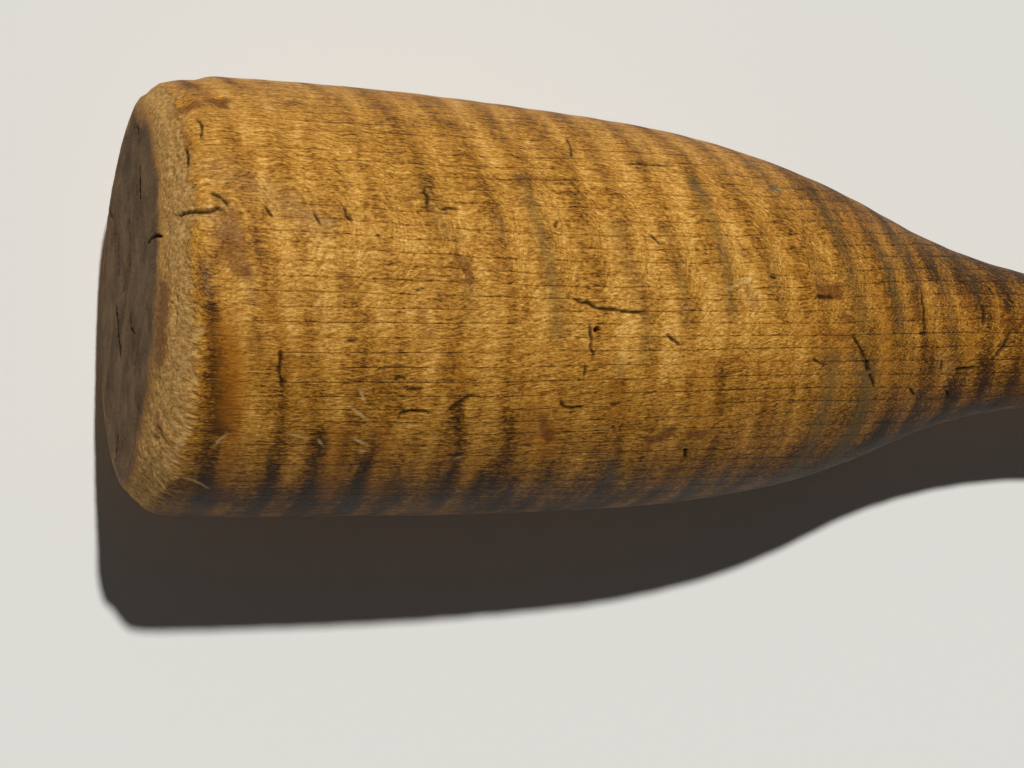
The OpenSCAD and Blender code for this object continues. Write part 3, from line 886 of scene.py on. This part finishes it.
def maple_material():
    """Curly maple under a worn varnish, bare and crushed at the rim, end grain on the face."""
    g = Shades("curly_maple")
    grain = g.vector("grain")
    band, amber, green = g.parts(g.vector("curl_marks"))
    stain, line, bare = g.parts(g.vector("spot_marks"))
    gloss, pale, teal = g.parts(g.vector("skin_marks"))
    grime_and_sheen, end, curl = g.parts(g.vector("soil_and_sheen_marks"))
    handled, lower, growth = g.parts(g.vector("wear_and_shade_marks"))
    depth = g.parts(grain)[2]

    fibre = g.noise(grain, (0.55, 2.9, 2.9), detail=3.0, rough=0.66)
    hair = g.noise(grain, (1.3, 5.2, 5.2), detail=2.0, rough=0.7)
    layer = g.noise(grain, (0.16, 0.45, 11.0), detail=2.0, rough=0.6)
    bars = g.noise(grain, (0.55, 0.10, 0.10), detail=2.0, rough=0.55)
    cloud = g.noise(grain, (0.06, 0.12, 0.12), detail=3.0, rough=0.55)
    speckle = g.noise(grain, (1.5, 2.6, 2.6), detail=3.0, rough=0.7)

    # Growth lines: thin and dark, in stretches. On the ends they follow the rings
    wander = g.noise(grain, (0.25, 0.5, 0.5), detail=2.0)
    years = g.node("ShaderNodeMix", {}, data_type="FLOAT")
    g.feed(years.inputs[0], end)
    g.feed(years.inputs[2], g.total(growth, (wander, 0.12), (speckle, 0.05)))
    g.feed(years.inputs[3], g.total((depth, 1 / RING_WIDTH), (wander, 0.4)))
    place = g.math("FRACT", years.outputs[0])
    late = g.math("MULTIPLY", g.ease(place, 0.83, 0.94), g.ease(place, 0.95, 1.0, 1.0, 0.0))
    stretch = g.ease(g.noise(grain, (0.045, 0.35, 0.35), detail=3.0, rough=0.65), 0.34, 0.62)
    late = g.math("MULTIPLY", late, g.total((stretch, 0.85), 0.2))
    late = g.math("MULTIPLY", late, g.ease(g.parts(grain)[0], 4.0, 26.0, 0.3, 1.0))
    warm = g.ease(place, 0.0, 1.0)

    # Short dark pores and dashes along the fibres
    pores = g.ease(g.noise(grain, (1.6, 4.2, 4.2), detail=1.0), 0.66, 0.78)
    dashes = g.ease(g.noise(grain, (0.7, 2.8, 2.8), detail=2.0, rough=0.7), 0.64, 0.78)

    # How dark the wood is, from 0, palest, to 1, black
    broken = g.math("SUBTRACT", fibre, 0.5)
    torn = g.total((broken, 0.6), (g.math("SUBTRACT", speckle, 0.5), 0.5))
    # The lower mark in this tone is painted shade on the lower side
    tone = g.total(
        0.33, (broken, -0.90), (g.math("SUBTRACT", hair, 0.5), -1.0), (g.math("SUBTRACT", layer, 0.5), -0.70),
        (g.math("SUBTRACT", bars, 0.5), 0.48), (g.math("SUBTRACT", cloud, 0.5), 0.40),
        (g.math("SUBTRACT", speckle, 0.5), 0.80), (warm, 0.03), (late, 0.21), (pores, 0.12), (dashes, 0.12),
        (curl, 0.10), (band, 0.43), (g.math("MULTIPLY", band, torn), 0.35), (handled, 0.31), (lower, 0.27))
    wood = g.ramp(tone, [
        (0.0, PALE_GOLD), (0.2, GOLD), (0.4, HONEY), (0.6, AMBER), (0.8, BROWN), (1.0, DARK)])
    wood = g.mix(g.math("MULTIPLY", amber, g.total((broken, 1.2), 0.72)), wood, linear(ORANGE))
    # The grey-violet grime mark is partly painted sheen on glossy varnish
    for mark, colour, cover in ((green, GREY_GREEN, 0.62), (grime_and_sheen, GREY_VIOLET, 0.4), (stain, RED_BROWN, 0.8)):
        share = g.total(mark, (g.math("MULTIPLY", g.ease(mark, 0.0, 0.4), torn), 0.9))
        share = g.node("ShaderNodeClamp", {"Value": g.math("MULTIPLY", share, cover)}).outputs[0]
        wood = g.mix(share, wood, linear(colour))

    # Bare crushed fibres at the rim
    shreds = g.noise(grain, (0.8, 1.7, 1.7), detail=4.0, rough=0.72)
    raw = g.ramp(shreds, [(0.28, AMBER), (0.42, DULL_WOOD), (0.56, RAW_WOOD), (0.76, PALE_WOOD)])
    wood = g.mix(g.math("MULTIPLY", bare, 0.9), wood, raw)

    # End grain: darker, greyer, with the rings as soft lines and the pores as dots
    dots = g.noise(grain, (0.4, 4.0, 4.0), detail=2.0, rough=0.7)
    soil = g.noise(grain, (0.1, 0.16, 0.16), detail=3.0, rough=0.6)
    cut = g.ramp(g.total((dots, 0.8), (soil, 0.8), (late, 0.12), -0.3), [
        (0.32, END_GRAIN), (0.52, (118, 92, 64)), (0.72, (80, 60, 42))])
    wood = g.mix(g.math("MULTIPLY", end, g.math("SUBTRACT", 1.0, g.math("MULTIPLY", bare, 0.8))), wood, cut)

    wood = g.mix(pale, wood, linear(SCRATCH))
    wood = g.mix(g.math("MULTIPLY", g.ease(g.total(teal, (broken, 0.8)), 0.2, 0.9), 0.8), wood, linear(PAINT))
    wood = g.mix(g.math("MULTIPLY", line, 0.92), wood, linear(DARK))
    g.feed(g.shader.inputs["Base Color"], wood)

    rough = g.total(0.55, (g.math("SUBTRACT", fibre, 0.5), 0.25), (g.math("SUBTRACT", cloud, 0.5), 0.2), (bare, 0.3),
                    (end, 0.25), (gloss, -0.46), (line, 0.3), (band, -0.06))
    g.feed(g.shader.inputs["Roughness"], g.node(
        "ShaderNodeClamp", {"Value": rough, "Min": 0.12, "Max": 0.95}).outputs[0])
    g.shader.inputs["IOR"].default_value = 1.25
    g.shader.inputs["Specular IOR Level"].default_value = 0.35

    relief = g.total((fibre, 0.9), (hair, 0.5), (layer, 0.5), (speckle, -0.8), (late, -0.7), (pores, -0.6),
                     (dashes, -0.8), (g.math("MULTIPLY", shreds, bare), 4.0), (g.math("MULTIPLY", dots, end), 2.2),
                     (pale, 0.6))
    bump = g.node("ShaderNodeBump", {"Height": relief, "Strength": 1.0, "Distance": 0.00011})
    g.feed(g.shader.inputs["Normal"], bump.outputs[0])
    return g.material


def floor_material():
    g = Shades("pale_floor")
    g.shader.inputs["Base Color"].default_value = FLOOR_COLOUR + (1.0,)
    g.shader.inputs["Roughness"].default_value = 0.8
    g.shader.inputs["Specular IOR Level"].default_value = 0.2
    return g.material


def make_masher():
    body = Body()
    body.add_noise()
    wear_body(body)
    figure_body(body)
    wear_rim(body)
    wear_face(body)
    crack_body(body)
    bore_worm_hole(body)
    piece = build_masher(body)
    piece.data.materials.append(maple_material())
    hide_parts("turned_body")
    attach(piece, "root")


def make_floor():
    half = FLOOR_SIDE / 2
    mesh = bpy.data.meshes.new("floor")
    mesh.from_pydata([(-half, -half, 0), (half, -half, 0), (half, half, 0), (-half, half, 0)], [], [(0, 1, 2, 3)])
    mesh.materials.append(floor_material())
    floor = bpy.data.objects.new("floor", mesh)
    bpy.context.scene.collection.objects.link(floor)


def make_light():
    key = bpy.data.objects.new("key", bpy.data.lights.new("key", "SUN"))
    key.data.energy = KEY_STRENGTH
    key.data.angle = math.radians(KEY_ANGLE)
    key.data.color = KEY_COLOUR
    x, y, z = KEY_FROM
    key.rotation_euler = (-math.atan2(y, z), math.atan2(x, math.hypot(y, z)), 0)
    bpy.context.scene.collection.objects.link(key)
    world = bpy.data.worlds.new("sky")
    world.use_nodes = True
    sky = world.node_tree.nodes["Background"]
    sky.inputs["Color"].default_value = SKY_COLOUR + (1.0,)
    sky.inputs["Strength"].default_value = SKY_STRENGTH
    bpy.context.scene.world = world


def make_camera():
    camera = bpy.data.objects.new("camera", bpy.data.cameras.new("camera"))
    camera.location = CAMERA_AT
    camera.rotation_euler = Euler([math.radians(a) for a in CAMERA_TURN], "XYZ")
    camera.data.sensor_fit = "HORIZONTAL"
    camera.data.sensor_width = SENSOR_WIDTH
    camera.data.lens = CAMERA_LENS
    camera.data.clip_start = 0.01
    camera.data.clip_end = 50
    bpy.context.scene.collection.objects.link(camera)
    bpy.context.scene.camera = camera


bpy.context.scene.view_settings.view_transform = "Standard"
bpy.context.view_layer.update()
make_camera()
make_light()
make_floor()
make_masher()
